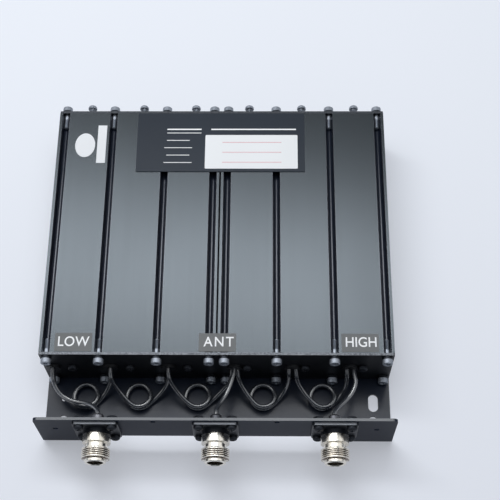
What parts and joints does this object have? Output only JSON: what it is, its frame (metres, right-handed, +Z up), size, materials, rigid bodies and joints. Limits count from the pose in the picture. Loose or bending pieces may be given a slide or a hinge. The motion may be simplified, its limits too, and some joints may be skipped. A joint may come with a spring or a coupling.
{
  "type": "cavity duplexer",
  "caption": "Flat cavity duplexer: grooved extrusion body with tuning screws at the rear, coiled coaxial phasing leads and threaded coaxial jacks on a front bracket.",
  "frame": {"origin": "underside of the bracket, under the middle of the front end plate's outer face", "axes": "+Z up, +Y from the jacks to the tuning screws, +X to the high port"},
  "size_m": [0.2, 0.2352, 0.0412],
  "materials": {
    "anodised_block": "black anodised, satin, fine extrusion lines",
    "anodised_plate": "black anodised, satin",
    "bracket_paint": "black powder coat, semi-gloss",
    "silvered_metal": "silver plated brass",
    "black_steel": "black oxide",
    "copper_wire": "bare copper wire",
    "tap_metal": "blackened brass",
    "nickel_shell": "bright nickel plate, black flange",
    "white_insulator": "white fluoropolymer",
    "gold_contact": "gold plated",
    "ferrule_metal": "dull nickel plate",
    "lead_jacket": "smooth dark grey jacket",
    "nameplate": "dark grey satin with a blank white field",
    "port_label": "grey tape, white letters",
    "sticker": "white matt sticker"
  },
  "bodies": {
    "housing": {"cavity_block_left": "anodised_block", "cavity_block_right": "anodised_block", "front_end_plate": "anodised_plate", "rear_end_plate": "anodised_plate", "mounting_bracket": "bracket_paint", "resonator_rod_1": "silvered_metal", "resonator_rod_2": "silvered_metal", "resonator_rod_3": "silvered_metal", "resonator_rod_4": "silvered_metal", "resonator_rod_5": "silvered_metal", "resonator_rod_6": "silvered_metal", "tuning_lock_nuts": "black_steel", "resonator_screws": "black_steel", "plate_screws": "black_steel", "plate_washers": "black_steel", "coupling_loop_1": "copper_wire", "coupling_loop_2": "copper_wire", "coupling_loop_3": "copper_wire", "coupling_loop_4": "copper_wire", "coupling_loop_5": "copper_wire", "coupling_loop_6": "copper_wire", "tap_bushing_1": "tap_metal", "tap_bushing_2": "tap_metal", "tap_bushing_3": "tap_metal", "tap_bushing_4": "tap_metal", "tap_bushing_5": "tap_metal", "tap_bushing_6": "tap_metal", "jack_shell_low": "nickel_shell", "jack_insulator_low": "white_insulator", "jack_contact_low": "gold_contact", "crimp_ferrule_low": "ferrule_metal", "jack_shell_antenna": "nickel_shell", "jack_insulator_antenna": "white_insulator", "jack_contact_antenna": "gold_contact", "crimp_ferrule_antenna": "ferrule_metal", "jack_shell_high": "nickel_shell", "jack_insulator_high": "white_insulator", "jack_contact_high": "gold_contact", "crimp_ferrule_high": "ferrule_metal", "jack_screws": "black_steel", "jack_nuts": "black_steel", "coax_low_lead": "lead_jacket", "coax_antenna_lead": "lead_jacket", "coax_high_lead": "lead_jacket", "coax_loop_1": "lead_jacket", "coax_loop_2": "lead_jacket", "coax_loop_3": "lead_jacket", "coax_loop_4": "lead_jacket", "coax_loop_5": "lead_jacket", "bracket_screws": "black_steel", "nameplate": "nameplate", "port_labels": "port_label", "oval_label": "sticker", "number_label": "sticker"},
    "tuner_1": {"tuning_screw_1": "black_steel"},
    "tuner_2": {"tuning_screw_2": "black_steel"},
    "tuner_3": {"tuning_screw_3": "black_steel"},
    "tuner_4": {"tuning_screw_4": "black_steel"},
    "tuner_5": {"tuning_screw_5": "black_steel"},
    "tuner_6": {"tuning_screw_6": "black_steel"}
  },
  "joints": [
    {"name": "tuning_screw_1_travel", "type": "slide", "parent": "housing", "child": "tuner_1", "axis": [0, 1, 0], "range_m": [-0.0105, 0.01]},
    {"name": "tuning_screw_2_travel", "type": "slide", "parent": "housing", "child": "tuner_2", "axis": [0, 1, 0], "range_m": [-0.0105, 0.01]},
    {"name": "tuning_screw_3_travel", "type": "slide", "parent": "housing", "child": "tuner_3", "axis": [0, 1, 0], "range_m": [-0.0105, 0.01]},
    {"name": "tuning_screw_4_travel", "type": "slide", "parent": "housing", "child": "tuner_4", "axis": [0, 1, 0], "range_m": [-0.0105, 0.01]},
    {"name": "tuning_screw_5_travel", "type": "slide", "parent": "housing", "child": "tuner_5", "axis": [0, 1, 0], "range_m": [-0.0105, 0.01]},
    {"name": "tuning_screw_6_travel", "type": "slide", "parent": "housing", "child": "tuner_6", "axis": [0, 1, 0], "range_m": [-0.0105, 0.01]}
  ]
}
